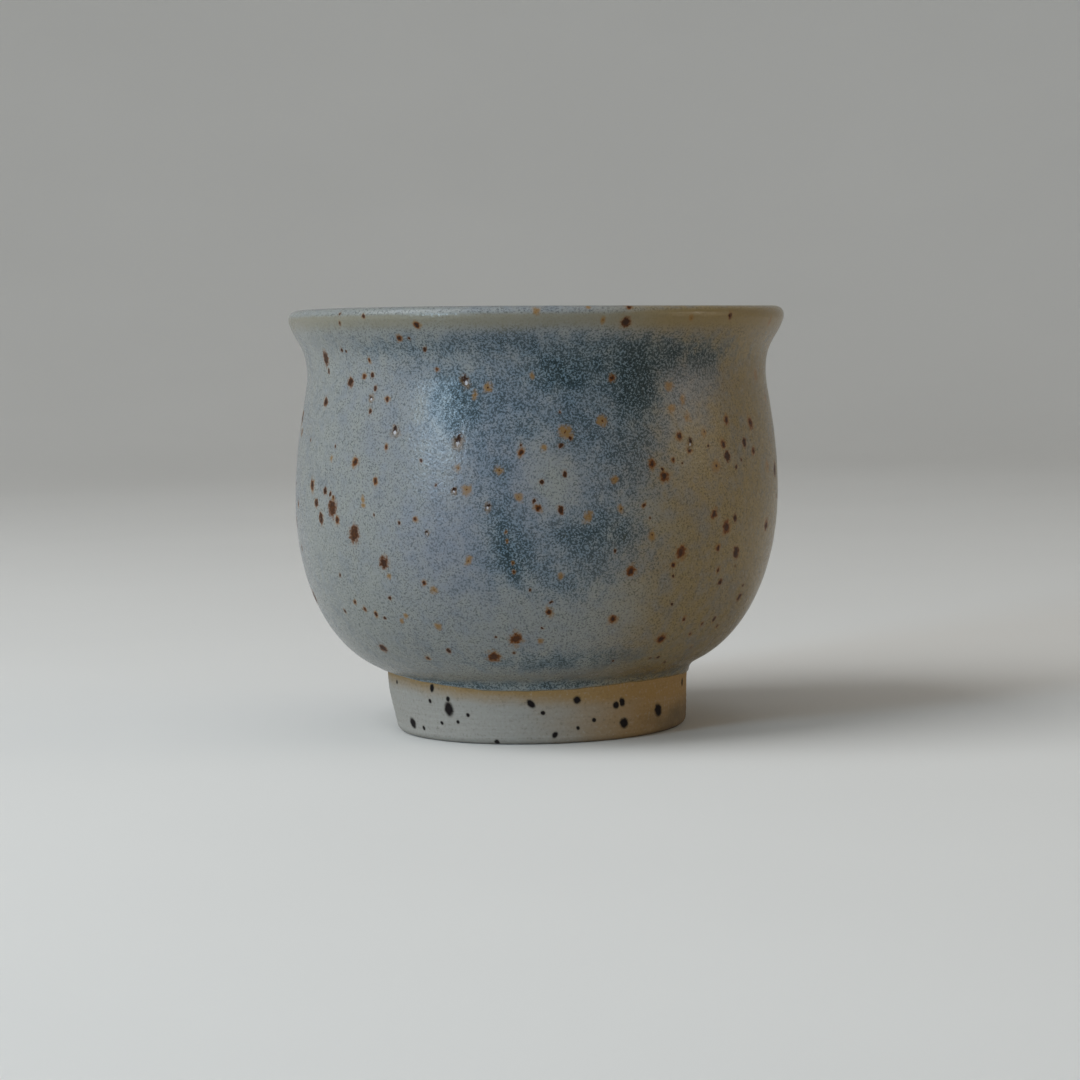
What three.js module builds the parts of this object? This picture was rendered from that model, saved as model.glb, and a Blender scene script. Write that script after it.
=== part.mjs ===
// A hand-thrown stoneware cup: a bowl with a soft belly, a drawn-in neck and a flared lip,
// standing on a turned foot ring, with one coat of glaze outside and another inside.
// Millimetres, +Z up. The origin is the centre of the foot's resting face.

import * as THREE from "three";

// Foot ring, bare clay
const FOOT_HEIGHT = 12.0; // resting face to the seat under the bowl
const FOOT_TOP_RADIUS = 27.7; // outside of the ring where it meets the bowl
const FOOT_BASE_RADIUS = 26.6; // outside of the ring at the resting face
const FOOT_RING_WIDTH = 5.8; // width of the ring at the resting face
const FOOT_BORE_TAPER = 0.9; // how much narrower the recess is at its top
const FOOT_EDGE = 1.4; // rounding of both edges of the resting face

// Bowl, clay surface under the glaze
const BELLY_RADIUS = 43.6;
const BELLY_HEIGHT = 42.4;
const NECK_RADIUS = 41.3;
const NECK_HEIGHT = 64.8;
const LIP_RADIUS = 44.6; // widest point of the flared lip
const CLAY_HEIGHT = 76.0; // resting face to the crest of the bare lip
const LIP_HALF_WIDTH = 1.6; // half the thickness of the rounded lip
const LIP_HALF_HEIGHT = 1.2;
const LIP_TURN = THREE.MathUtils.degToRad(20); // where the flare runs into the rounded lip
const WALL = 3.6; // thickness at the neck and the belly
const FLOOR = 6.0; // thickness at the centre
const BASE_SAG = 4.2; // how far the underside sags below the seat, inside the ring
const UNDERCUT = THREE.MathUtils.degToRad(15); // slope of the bowl where it leaves the foot

// Fullness of the bowl's curves: how long each pull on a curve is, as a share of its rise
const PULL_AT_FOOT = 0.28;
const PULL_UNDER_BELLY = 0.56;
const PULL_OVER_BELLY = 0.52;
const PULL_UNDER_NECK = 0.16;
const PULL_OVER_NECK = 0.58;
const PULL_UNDER_LIP = 0.36;
const PULL_INSIDE_FLARE = 0.4;
const PULL_INSIDE_BELLY = 0.8;
const PULL_OVER_FLOOR = 0.65; // a share of the inner radius
const PULL_UNDER_FLOOR = 0.6; // a share of the recess's radius

// Glaze
const GLAZE = 0.5; // thickness of both coats
const GLAZE_RUN = 1.9; // how far the outer coat runs down over the foot
const GLAZE_SLANT = 0.3; // how much higher the coat's edge is outside, at the glaze line

// Facets
const ROUND_STEPS = 64;
const LONG_STEPS = 7; // along the lower bowl, inside and out
const SHORT_STEPS = 4; // along the neck, the flare, the lip and the underside
const EDGE_STEPS = 3; // along the rounded edges of the foot

const at = (radius, height) => new THREE.Vector2(radius, height);
const turned = (angle, length) => at(Math.cos(angle) * length, Math.sin(angle) * length);
const UP = Math.PI / 2;

// A smooth curve that leaves one point and reaches the next along given directions.
function sweep(start, leaving, end, arriving) {
  return new THREE.CubicBezierCurve(start, start.clone().add(leaving), end.clone().sub(arriving), end);
}

// The outline that runs through several curves, each with its own number of steps.
function joined(...stretches) {
  const points = [stretches[0].curve.getPoint(0)];
  for (const { curve, steps } of stretches) {
    points.push(...curve.getPoints(steps).slice(1));
  }
  return points;
}

// Outline of the bowl outside: seat corner, belly, neck, flare, crest of the lip.
const seatCorner = at(FOOT_TOP_RADIUS, FOOT_HEIGHT);
const belly = at(BELLY_RADIUS, BELLY_HEIGHT);
const neck = at(NECK_RADIUS, NECK_HEIGHT);
const lipX = LIP_RADIUS - LIP_HALF_WIDTH;
const lipY = CLAY_HEIGHT - LIP_HALF_HEIGHT;
const lipArc = (from, to) => new THREE.EllipseCurve(lipX, lipY, LIP_HALF_WIDTH, LIP_HALF_HEIGHT, from, to);
const lipOutside = lipArc(-LIP_TURN, UP);
const lipInside = lipArc(UP, Math.PI - LIP_TURN);
const flareStart = lipOutside.getPoint(0);
const flareWay = lipOutside.getTangent(0);
const bellyRise = BELLY_HEIGHT - FOOT_HEIGHT;
const neckRise = NECK_HEIGHT - BELLY_HEIGHT;
const flareRise = flareStart.y - NECK_HEIGHT;

const lowerOutside = sweep(
  seatCorner,
  turned(UNDERCUT, bellyRise * PULL_AT_FOOT),
  belly,
  turned(UP, bellyRise * PULL_UNDER_BELLY),
);
const upperOutside = sweep(
  belly,
  turned(UP, neckRise * PULL_OVER_BELLY),
  neck,
  turned(UP, neckRise * PULL_UNDER_NECK),
);
const flareOutside = sweep(
  neck,
  turned(UP, flareRise * PULL_OVER_NECK),
  flareStart,
  flareWay.clone().setLength(flareRise * PULL_UNDER_LIP),
);

const clayOutside = joined(
  { curve: lowerOutside, steps: LONG_STEPS },
  { curve: upperOutside, steps: SHORT_STEPS },
  { curve: flareOutside, steps: SHORT_STEPS },
  { curve: lipOutside, steps: SHORT_STEPS },
);

// Outline of the bowl inside: crest of the lip, neck, belly, centre of the floor.
const underside = FOOT_HEIGHT - BASE_SAG;
const floorCentre = at(0, underside + FLOOR);
const innerNeck = at(NECK_RADIUS - WALL, NECK_HEIGHT);
const innerBelly = at(BELLY_RADIUS - WALL, BELLY_HEIGHT);
const innerFlareStart = lipInside.getPoint(1);
const innerFlareWay = lipInside.getTangent(1);
const innerFlareDrop = innerFlareStart.y - NECK_HEIGHT;
const innerDepth = BELLY_HEIGHT - floorCentre.y;

const flareInside = sweep(
  innerFlareStart,
  innerFlareWay.clone().setLength(innerFlareDrop * PULL_INSIDE_FLARE),
  innerNeck,
  turned(-UP, innerFlareDrop * PULL_INSIDE_FLARE),
);
const upperInside = sweep(
  innerNeck,
  turned(-UP, neckRise * PULL_UNDER_NECK),
  innerBelly,
  turned(-UP, neckRise * PULL_OVER_BELLY),
);
const lowerInside = sweep(
  innerBelly,
  turned(-UP, innerDepth * PULL_INSIDE_BELLY),
  floorCentre,
  at(-innerBelly.x * PULL_OVER_FLOOR, 0),
);

const clayInside = joined(
  { curve: lipInside, steps: SHORT_STEPS / 2 },
  { curve: flareInside, steps: SHORT_STEPS },
  { curve: upperInside, steps: SHORT_STEPS },
  { curve: lowerInside, steps: LONG_STEPS },
);
clayInside[clayInside.length - 1].setX(0);

// Outline of the foot ring. Its outer side has a point where the glaze ends.
const boreBase = FOOT_BASE_RADIUS - FOOT_RING_WIDTH;
const boreTop = boreBase - FOOT_BORE_TAPER;
const footSide = new THREE.LineCurve(at(FOOT_BASE_RADIUS, FOOT_EDGE), seatCorner);
const glazeEnd = footSide.getPoint(1 - GLAZE_RUN / (FOOT_HEIGHT - FOOT_EDGE));
const edge = (x, from, to) =>
  new THREE.EllipseCurve(x, FOOT_EDGE, FOOT_EDGE, FOOT_EDGE, from, to).getPoints(EDGE_STEPS);
const ringOutline = [
  ...edge(boreBase + FOOT_EDGE, Math.PI, Math.PI * 1.5),
  ...edge(FOOT_BASE_RADIUS - FOOT_EDGE, -UP, 0),
  glazeEnd,
  seatCorner,
  at(boreTop, FOOT_HEIGHT),
  at(boreBase, FOOT_EDGE),
];

// Underside of the bowl inside the ring, from the axis out to the seat.
const sag = new THREE.QuadraticBezierCurve(
  at(0, underside),
  at(boreTop * PULL_UNDER_FLOOR, underside),
  at(boreTop, FOOT_HEIGHT),
);
const bowlOutline = [...sag.getPoints(SHORT_STEPS), ...clayOutside, ...clayInside.slice(1)];

// The clay's skin moved out by the glaze's thickness, with mitred corners.
function coatOver(skin, thickness) {
  return skin.map((point, i) => {
    const before = skin[i - 1];
    const after = skin[i + 1] ?? at(-before.x, before.y);
    const outOf = (from, to) => at(to.y - from.y, from.x - to.x).normalize();
    const next = outOf(point, after);
    const out = before ? outOf(before, point).add(next).normalize() : next.clone();
    return point.clone().addScaledVector(out, thickness / out.dot(next));
  });
}

const skin = [glazeEnd, ...clayOutside, ...clayInside.slice(1)];
const coat = coatOver(skin, GLAZE);
coat[0].y += GLAZE_SLANT;
coat[coat.length - 1].setX(0);
const crest = clayOutside.length; // place of the lip's crest along the skin

const outerOutline = [...coat.slice(0, crest + 1), ...skin.slice(0, crest + 1).reverse()];
outerOutline.push(outerOutline[0].clone());
const linerOutline = [...skin.slice(crest).reverse(), ...coat.slice(crest)];

// One solid of revolution, with the turning axis upright.
function lathe(name, outline, material) {
  const geometry = new THREE.LatheGeometry(outline, ROUND_STEPS);
  geometry.rotateX(Math.PI / 2);
  const mesh = new THREE.Mesh(geometry, material);
  mesh.name = name;
  return mesh;
}

const clay = new THREE.MeshStandardMaterial({ name: "clay", color: 0x8d8474, roughness: 0.9 });
const bareFoot = new THREE.MeshStandardMaterial({ name: "bare_foot", color: 0x968a76, roughness: 0.88 });
const outerCoat = new THREE.MeshStandardMaterial({ name: "outer_coat", color: 0x7c8586, roughness: 0.45 });
const innerCoat = new THREE.MeshStandardMaterial({ name: "inner_coat", color: 0x858c96, roughness: 0.45 });

const cup = new THREE.Group();
cup.name = "stoneware_cup";
cup.add(
  lathe("bowl", bowlOutline, clay),
  lathe("foot_ring", ringOutline, bareFoot),
  lathe("outer_glaze", outerOutline, outerCoat),
  lathe("liner_glaze", linerOutline, innerCoat),
);

export default cup;
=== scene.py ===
# %% [markdown]
# A hand-thrown stoneware cup: a bowl with a soft belly and a flared lip, on a bare turned foot.
# Its beauty is in the surface: a satin glaze that pools blue, breaks to ochre at the lip, and is
# pierced by iron spots from the clay. The solids of the cup are loaded first, because each piece
# made here lies on them, in metres, with +Z up and the front of the cup towards -Y.

# %% Load the solids
import math
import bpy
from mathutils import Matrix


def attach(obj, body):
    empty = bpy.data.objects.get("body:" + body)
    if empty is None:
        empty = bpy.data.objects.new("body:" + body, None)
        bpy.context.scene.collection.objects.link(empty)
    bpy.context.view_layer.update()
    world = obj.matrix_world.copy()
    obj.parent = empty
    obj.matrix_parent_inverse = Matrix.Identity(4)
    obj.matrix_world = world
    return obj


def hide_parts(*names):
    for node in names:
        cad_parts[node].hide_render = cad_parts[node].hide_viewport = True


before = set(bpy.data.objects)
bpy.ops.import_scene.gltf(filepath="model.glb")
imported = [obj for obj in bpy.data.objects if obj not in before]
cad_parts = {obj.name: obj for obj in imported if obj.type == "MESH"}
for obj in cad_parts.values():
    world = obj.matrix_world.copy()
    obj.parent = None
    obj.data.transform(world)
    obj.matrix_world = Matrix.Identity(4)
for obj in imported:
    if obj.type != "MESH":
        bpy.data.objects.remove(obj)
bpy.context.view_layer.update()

from types import SimpleNamespace

import bpy
import numpy as np
from mathutils import Matrix

print("solids:", sorted(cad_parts))

# %% [markdown]
# A cup from the wheel is one outline turned about an axis. It could be modelled by pushing
# vertices about by eye, but an outline written with the potter's own sizes is easier to read and
# to change, and it keeps this cup on the solids. Each size below is in millimetres. A pull is the
# length of a curve's handle as a share of the curve's rise: a longer pull makes a fuller curve.

# %% Sizes of the clay and the glaze
MM = 0.001
FOOT_HEIGHT = 12.0
FOOT_TOP_RADIUS = 27.7
FOOT_BASE_RADIUS = 26.6
FOOT_RING_WIDTH = 5.8
FOOT_BORE_TAPER = 0.9
FOOT_EDGE = 1.4
BELLY = np.array([43.6, 42.4])  # radius and height
NECK = np.array([41.3, 64.8])
LIP_RADIUS = 44.6
CLAY_HEIGHT = 76.0
LIP_HALF = np.array([1.6, 1.2])  # half the width and half the height of the rounded lip
LIP_TURN = 20.0  # degrees
LIP_FULLNESS = 0.8  # 1 rounds the lip as an ellipse, less makes its edges fuller
WALL = 3.6
FLOOR = 6.0
BASE_SAG = 4.2
UNDERCUT = 15.0  # degrees
GLAZE = 0.5
GLAZE_RUN = 1.9  # how far the outer coat runs down over the foot
PULL_AT_FOOT = 0.28
PULL_UNDER_BELLY = 0.56
PULL_OVER_BELLY = 0.52
PULL_UNDER_NECK = 0.16
PULL_OVER_NECK = 0.58
PULL_UNDER_LIP = 0.36
PULL_INSIDE_FLARE = 0.4
PULL_INSIDE_BELLY = 0.8
PULL_OVER_FLOOR = 0.65  # a share of the inner radius
PULL_UNDER_FLOOR = 0.6  # a share of the recess's radius
print("lip", 2 * (LIP_RADIUS + GLAZE), "mm across,", CLAY_HEIGHT + GLAZE, "mm high")

# %% Curves of the outline
UP = np.array([0.0, 1.0])


def along(degrees, length):
    """Steps of that length in those directions; 0 degrees is outward and 90 is up."""
    turn = np.radians(degrees)
    return np.stack([np.cos(turn), np.sin(turn)], axis=-1) * length


def sweep(start, leaving, end, arriving, steps):
    """Points of a smooth curve that leaves start and reaches end along two given steps."""
    t = np.linspace(0, 1, steps + 1)[:, None]
    s = 1 - t
    inner = 3 * s * s * t * (start + leaving) + 3 * s * t * t * (end - arriving)
    return s**3 * start + inner + t**3 * end


def lip_arc(first, last, steps):
    """Part of the rounded lip, between two angles in degrees."""
    way = along(np.linspace(first, last, steps + 1), 1)
    centre = np.array([LIP_RADIUS, CLAY_HEIGHT]) - LIP_HALF
    return centre + LIP_HALF * np.sign(way) * np.abs(way) ** LIP_FULLNESS


def joined(*stretches):
    """Several stretches of outline as one, without the doubled points between them."""
    return np.concatenate([stretches[0]] + [s[1:] for s in stretches[1:]])


def unit(steps):
    """The same directions with a length of 1."""
    return steps / np.linalg.norm(steps, axis=-1, keepdims=True)


def outward(outline):
    """The direction out of the clay at each point of an outline."""
    step = np.gradient(outline, axis=0)
    return unit(np.stack([step[:, 1], -step[:, 0]], axis=1))


def run_along(outline):
    """Length of the outline from its start to each of its points."""
    return np.concatenate([[0], np.cumsum(np.linalg.norm(np.diff(outline, axis=0), axis=1))])


# %% Outline of the clay
seat = np.array([FOOT_TOP_RADIUS, FOOT_HEIGHT])
belly_rise = BELLY[1] - FOOT_HEIGHT
neck_rise = NECK[1] - BELLY[1]
lip_outside = lip_arc(-LIP_TURN, 90, steps=14)
lip_inside = lip_arc(90, 180 - LIP_TURN, steps=8)
flare_rise = lip_outside[0][1] - NECK[1]
inner_drop = lip_inside[-1][1] - NECK[1]
flare_way = unit(lip_outside[1] - lip_outside[0])
flare_pull = flare_way * flare_rise * PULL_UNDER_LIP
inner_pull = inner_drop * PULL_INSIDE_FLARE
underside = FOOT_HEIGHT - BASE_SAG
floor_centre = np.array([0.0, underside + FLOOR])
inner_neck = NECK - [WALL, 0]
inner_belly = BELLY - [WALL, 0]
depth = inner_belly[1] - floor_centre[1]
foot_pull = along(UNDERCUT, belly_rise * PULL_AT_FOOT)
floor_pull = along(180, inner_belly[0] * PULL_OVER_FLOOR)
over_belly = UP * neck_rise * PULL_OVER_BELLY
under_neck = UP * neck_rise * PULL_UNDER_NECK

clay_outside = joined(
    sweep(seat, foot_pull, BELLY, UP * belly_rise * PULL_UNDER_BELLY, steps=52),
    sweep(BELLY, over_belly, NECK, under_neck, steps=30),
    sweep(NECK, UP * flare_rise * PULL_OVER_NECK, lip_outside[0], flare_pull, steps=16),
    lip_outside,
)
clay_inside = joined(
    lip_inside,
    sweep(lip_inside[-1], -flare_way * inner_pull, inner_neck, -UP * inner_pull, steps=16),
    sweep(inner_neck, -under_neck, inner_belly, -over_belly, steps=26),
    sweep(inner_belly, -UP * depth * PULL_INSIDE_BELLY, floor_centre, floor_pull, steps=48),
)
clay_inside[-1][0] = 0
skin = joined(clay_outside, clay_inside)
coat = skin + outward(skin) * GLAZE
coat[-1][0] = 0
CREST = len(clay_outside) - 1
print("outline:", len(skin), "points, crest of the lip at", coat[CREST].round(2))

# %% [markdown]
# No thrown cup is quite round or upright. This one leans a little to the right, its foot was turned
# off centre, its lip is lower on the right and at the back, its mouth is slightly oval and the wall
# keeps faint rings from the fingers. One function bends every piece in the same way, so that the
# clay and its two coats of glaze still meet after it. Angles run from the front of the cup, towards
# the right as the picture shows it.

# %% Soft steps
def rising(value, low, high):
    """0 below low, 1 above high, and a smooth step between them."""
    t = np.clip((np.asarray(value, float) - low) / (high - low), 0, 1)
    return t * t * (3 - 2 * t)


def falling(value, low, high):
    """1 below low, 0 above high, and a smooth step between them."""
    return 1 - rising(value, low, high)


def hill(value, foot, full, fading, end):
    """Rises from foot to full, and falls again from fading to end."""
    return rising(value, foot, full) * falling(value, fading, end)


# %% The hand of the thrower
LEAN = 1.32  # sideways, from its start to the lip
LEAN_START = 8.0
LEAN_RISE = 67.0
FOOT_ASIDE = 0.58
ASIDE_END = 9.0
LIP_SLOPE = 0.0129  # down towards the right
BACK_SLOPE = 0.0279  # down towards the back
LIP_TWIST = 0.18  # lower at the front right and the back left
OVAL = 0.20
OVAL_TURN = 0.8
THREE_SIDED = 0.10
FINGER_RINGS = 0.012
RING_PITCH = 5.4
SLOPE_HEIGHTS = (26, 75)  # where the slopes and the oval grow
TWIST_HEIGHTS = (58, 76)
RING_HEIGHTS = (16, 26, 60, 69)
RING_RADII = (28, 34)
OVAL_RADII = (5, 30)


def sideways(height):
    """How far to the right the middle of the cup lies at a height."""
    lean = LEAN * (np.maximum(height - LEAN_START, 0) / LEAN_RISE - 0.5)
    return lean + FOOT_ASIDE * falling(height, 0, ASIDE_END)


def lip_drop(x, y, height):
    """How far the slopes and the twist of the lip bring a point down."""
    slope = (LIP_SLOPE * x + BACK_SLOPE * y) * rising(height, *SLOPE_HEIGHTS)
    twist = -2 * LIP_TWIST * x * y / np.maximum(x * x + y * y, 1)
    return slope + twist * rising(height, *TWIST_HEIGHTS)


def thrown(angle, radius, height):
    """Places in millimetres of points given by angle, radius and height, with the hand's marks."""
    rings = FINGER_RINGS * np.sin(2 * math.pi * height / RING_PITCH + angle)
    rings = rings * hill(height, *RING_HEIGHTS) * rising(radius, *RING_RADII)
    oval = OVAL * np.cos(2 * (angle - OVAL_TURN)) + THREE_SIDED * np.cos(3 * angle + 1)
    oval = oval * rising(height, *SLOPE_HEIGHTS) * rising(radius, *OVAL_RADII)
    r = radius + oval + rings
    x = r * np.sin(angle)
    y = -r * np.cos(angle)
    return np.stack([x + sideways(height), y, height - lip_drop(x, y, height)], axis=-1)


print("the front of the lip is", round(2 * BACK_SLOPE * LIP_RADIUS, 2), "mm higher than the back")

# %% [markdown]
# Every piece is a section turned about the axis. Blender's Screw or Spin tools could do it, but
# building the rings in code also gives each corner of each face its place on the surface: how far
# round, and how far along the outline. The finishes use these places, and so does the map for
# baking, in which the front half and the back half of the cup lie one above the other.

# %% Rings of faces
SEGMENTS = 360
STEP_ROUND = 2 * math.pi / SEGMENTS
ON_AXIS = 1e-6


def ring_corners(section):
    """Row, column, face and middle column of every corner of every face, face after face."""
    rows = len(section)
    on_axis = section[:, 0] < ON_AXIS
    open_ended = int(on_axis[0] and on_axis[-1])
    row, column = np.divmod(np.arange((rows - open_ended) * SEGMENTS)[:, None], SEGMENTS)
    has_area = ~(on_axis[row] & on_axis[(row + 1) % rows])[:, 0]
    row = row[has_area] + [0, 0, 1, 1]
    middle = column[has_area] + [0.5, 0.5, 0.5, 0.5]
    tip = on_axis[row % rows]
    column = np.where(tip, middle, column[has_area] + [0, 1, 1, 0])
    face = np.arange(len(row))[:, None] + [0, 0, 0, 0]
    kept = ~tip | [True, False, True, False]  # a face that meets the axis is a triangle
    return row[kept], column[kept], face[kept], middle[kept]


# %% Map for baking
BACK_HALF = 0.485  # where the back half starts, up the map
HALF_HEIGHT = 0.465
HIDDEN_STRIP = 0.965
HIDDEN_HEIGHT = 0.03
MARGIN = 0.004


def map_for_baking(mesh, surface):
    """Front half below, back half above, and what is hidden in a thin strip at the top."""
    front = np.abs(surface.middle) < math.pi / 2
    behind = surface.angle + np.where(surface.middle < 0, 2 * math.pi, 0)
    u = np.where(front, surface.angle + math.pi / 2, behind - math.pi / 2) / math.pi
    v = np.where(front, 0, BACK_HALF) + HALF_HEIGHT * np.minimum(surface.run / surface.length, 1)
    hidden_u = (surface.angle + math.pi) / (2 * math.pi)
    past = (surface.run - surface.length) / (surface.whole - surface.length + 1)
    hidden_v = HIDDEN_STRIP + HIDDEN_HEIGHT * np.clip(past, 0, 1)
    uv = np.stack([np.where(surface.seen, u, hidden_u), np.where(surface.seen, v, hidden_v)], axis=1)
    uv = MARGIN + (1 - 2 * MARGIN) * uv
    mesh.uv_layers.new(name="OFBake").uv.foreach_set("vector", uv.ravel())


# %% Turning a section into a mesh
def add_object(name, data):
    """A new object in the scene."""
    thing = bpy.data.objects.new(name, data)
    bpy.context.collection.objects.link(thing)
    return thing


def turned(name, section, shown=None, level_row=None, bend=thrown):
    """A closed mesh of revolution, and the places of its corners.

    The section runs with the material on its left, and ends on the axis or meets its own start.
    Its first rows are the ones shown, or all are. The level row has a normal that points up.
    """
    rows = len(section)
    shown = rows + 1 if shown is None else shown
    run_row, across, face, middle = ring_corners(section)
    row = run_row % rows
    column = np.where(section[row, 0] < ON_AXIS, 0, across.astype(int) % SEGMENTS)
    points, vertex = np.unique(row * SEGMENTS + column, return_inverse=True)
    point_row, point_column = np.divmod(points, SEGMENTS)
    point_angle = point_column * STEP_ROUND - math.pi
    point_radius, point_height = section[point_row].T
    places = bend(point_angle, point_radius, point_height)
    starts = np.flatnonzero(np.diff(face, prepend=-1))
    sizes = np.diff(starts, append=len(row))
    mesh = bpy.data.meshes.new(name)
    mesh.from_pydata(places * MM, [], [loop.tolist() for loop in np.split(vertex, starts[1:])])
    mesh.shade_smooth()
    if level_row is not None:
        normals = np.array([v.vector for v in mesh.vertex_normals])
        normals[point_row == level_row] = (0, 0, 1)
        mesh.normals_split_custom_set_from_vertices(normals)
    runs = run_along(np.concatenate([section, section[:1]]))
    surface = SimpleNamespace(
        face=face,
        starts=starts,
        sizes=sizes,
        angle=across * STEP_ROUND - math.pi,
        middle=middle * STEP_ROUND - math.pi,
        radius=section[row, 0],
        run=runs[run_row],
        seen=np.repeat(np.maximum.reduceat(run_row, starts) < shown, sizes),
        point_angle=point_angle,
        point_radius=point_radius,
        point_height=point_height,
        point_run=runs[point_row],
        shown_outline=section[:shown],
        shown_runs=runs[:shown],
        length=runs[shown - 1],
        whole=runs[-1],
    )
    map_for_baking(mesh, surface)
    print(name, "has", len(mesh.polygons), "faces")
    return add_object(name, mesh), surface


def finish_piece(piece, node):
    """The piece stands for one solid, which it hides, and stays on the cup."""
    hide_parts(node)
    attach(piece, "root")


# %% [markdown]
# The outer coat of glaze starts on the foot, where it stopped running in the kiln. Its line is not
# level: it hangs low in front and climbs to the left. Above the thin rounded edge the coat fills the
# corner under the bowl with a soft fillet and then follows the clay up to the crest.

# %% Glaze line
SIDE_TAPER = (FOOT_TOP_RADIUS - FOOT_BASE_RADIUS) / (FOOT_HEIGHT - FOOT_EDGE)
LINE = FOOT_HEIGHT - GLAZE_RUN
EDGE_TOP = LINE + 0.4  # where the rounded edge ends and the fillet starts
CORNER_FOOT = LINE + 1.6  # where the coat no longer follows the line up and down
LINE_WAVES = [  # height, number round the foot, and shift
    (-0.40, 1, 0), (-0.28, 2, 0), (0.57, 3, -0.85), (0.04, 11, 2), (0.03, 23, 0), (0.02, 41, 1),
]


def foot_side(height):
    """Radius of the foot's outer side at a height."""
    return FOOT_BASE_RADIUS + SIDE_TAPER * (height - FOOT_EDGE)


def glaze_line_shift(angle):
    """How far the glaze line lies above or below its mean height, round the foot."""
    return sum(height * np.sin(count * angle + shift) for height, count, shift in LINE_WAVES)


def thrown_with_line(angle, radius, height):
    """As thrown, with the edge at the glaze line moved up and down along the foot."""
    share = np.clip((CORNER_FOOT - height) / (CORNER_FOOT - LINE), 0, 1)
    moved = height + glaze_line_shift(angle) * share
    return thrown(angle, radius + SIDE_TAPER * (moved - height), moved)


print("in front the glaze line is", round(float(glaze_line_shift(0)), 2), "mm from its mean height")

# %% Outer coat of glaze
FILLET_REACH = 3.0  # from the corner out along the bowl
EDGE_THICKNESS = 0.36
EDGE_SINK = 0.02  # how far the edge of the coat lies in the clay
HIDDEN_STRIDE = 6  # hidden faces need only one row in so many
first_free = int(np.argmax(coat[:, 0] > FOOT_TOP_RADIUS + FILLET_REACH))
fillet_end = coat[first_free]
line_start = np.array([foot_side(LINE) - EDGE_SINK, LINE])
edge_end = np.array([foot_side(EDGE_TOP) + EDGE_THICKNESS, EDGE_TOP])
leave_corner = unit(coat[first_free + 1] - fillet_end)
outer_shown = joined(
    sweep(line_start, along(20, 0.2), edge_end, UP * 0.2, steps=5),
    sweep(edge_end, UP * 0.75, fillet_end, leave_corner * 1.5, steps=14),
    coat[first_free : CREST + 1],
)
outer_section = np.concatenate([outer_shown, skin[CREST:0:-HIDDEN_STRIDE], skin[:1]])
rows_shown = len(outer_shown)
outer_glaze, outer_surface = turned(
    "outer_glaze_coat", outer_section, rows_shown, rows_shown - 1, thrown_with_line
)
finish_piece(outer_glaze, "outer_glaze")

# %% [markdown]
# The inner coat runs from the crest down to the floor. Inside a cup the rings of the fingers are
# deeper than outside, because nobody scrapes them away, and glaze gathers at the bottom.

# %% Inner coat of glaze
INNER_RINGS = 0.09
INNER_PITCH = 7.0
liner_shown = coat[CREST:].copy()
liner_run = run_along(liner_shown)
liner_end = liner_run[-1]
liner_rings = INNER_RINGS * np.sin(2 * math.pi * liner_run / INNER_PITCH)
liner_rings = liner_rings * hill(liner_run, 8, 18, liner_end - 16, liner_end - 4)
liner_shown = liner_shown + outward(liner_shown) * liner_rings[:, None]
liner_shown[-1][0] = 0
liner_section = np.concatenate([liner_shown, skin[:CREST:-HIDDEN_STRIDE], skin[CREST : CREST + 1]])
liner_glaze, liner_surface = turned("liner_glaze_coat", liner_section, len(liner_shown), 0)
finish_piece(liner_glaze, "liner_glaze")

# %% [markdown]
# The foot is bare clay. It was turned upside down on the wheel with a metal tool, which leaves
# fine rings, a soft bottom edge and a side that swells a little. A seeded random number per row
# gives these rings; a bump texture alone would leave the outline too straight.

# %% Foot ring
EDGE_STEPS = 7
SIDE_ROWS = 44
SIDE_SWELL = 0.10
TOOL_RINGS = 0.016
BORE_PULL = UP * 3
bore_base = FOOT_BASE_RADIUS - FOOT_RING_WIDTH
bore_top = bore_base - FOOT_BORE_TAPER


def edge_arc(radius, first, last):
    """A rounded edge of the resting face, between two angles in degrees."""
    return np.array([radius, FOOT_EDGE]) + along(np.linspace(first, last, EDGE_STEPS + 1), FOOT_EDGE)


tool = np.random.default_rng(5)
side_heights = np.linspace(FOOT_EDGE, FOOT_HEIGHT, SIDE_ROWS)
side_share = (side_heights - FOOT_EDGE) / (FOOT_HEIGHT - FOOT_EDGE)
side_shape = SIDE_SWELL * np.sin(math.pi * side_share) ** 2
side_shape[1:-1] += TOOL_RINGS * tool.standard_normal(SIDE_ROWS - 2)
foot_outside = np.stack([foot_side(side_heights) + side_shape, side_heights], axis=1)
bore_start = np.array([bore_top, FOOT_HEIGHT])
bore_end = np.array([bore_base, FOOT_EDGE])
foot_section = np.concatenate(
    [
        edge_arc(FOOT_BASE_RADIUS - FOOT_EDGE, -90, 0)[:-1],
        foot_outside,
        sweep(bore_start, -BORE_PULL, bore_end, -BORE_PULL, steps=12)[:-1],
        edge_arc(bore_base + FOOT_EDGE, 180, 270),
    ]
)
foot_ring, foot_surface = turned("turned_foot", foot_section)
finish_piece(foot_ring, "foot_ring")

# %% [markdown]
# The clay of the bowl shows only underneath, inside the foot. There the turning tool left a shallow
# dome with rings and a small button at the centre. The rest of this piece lies under the glaze.

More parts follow.
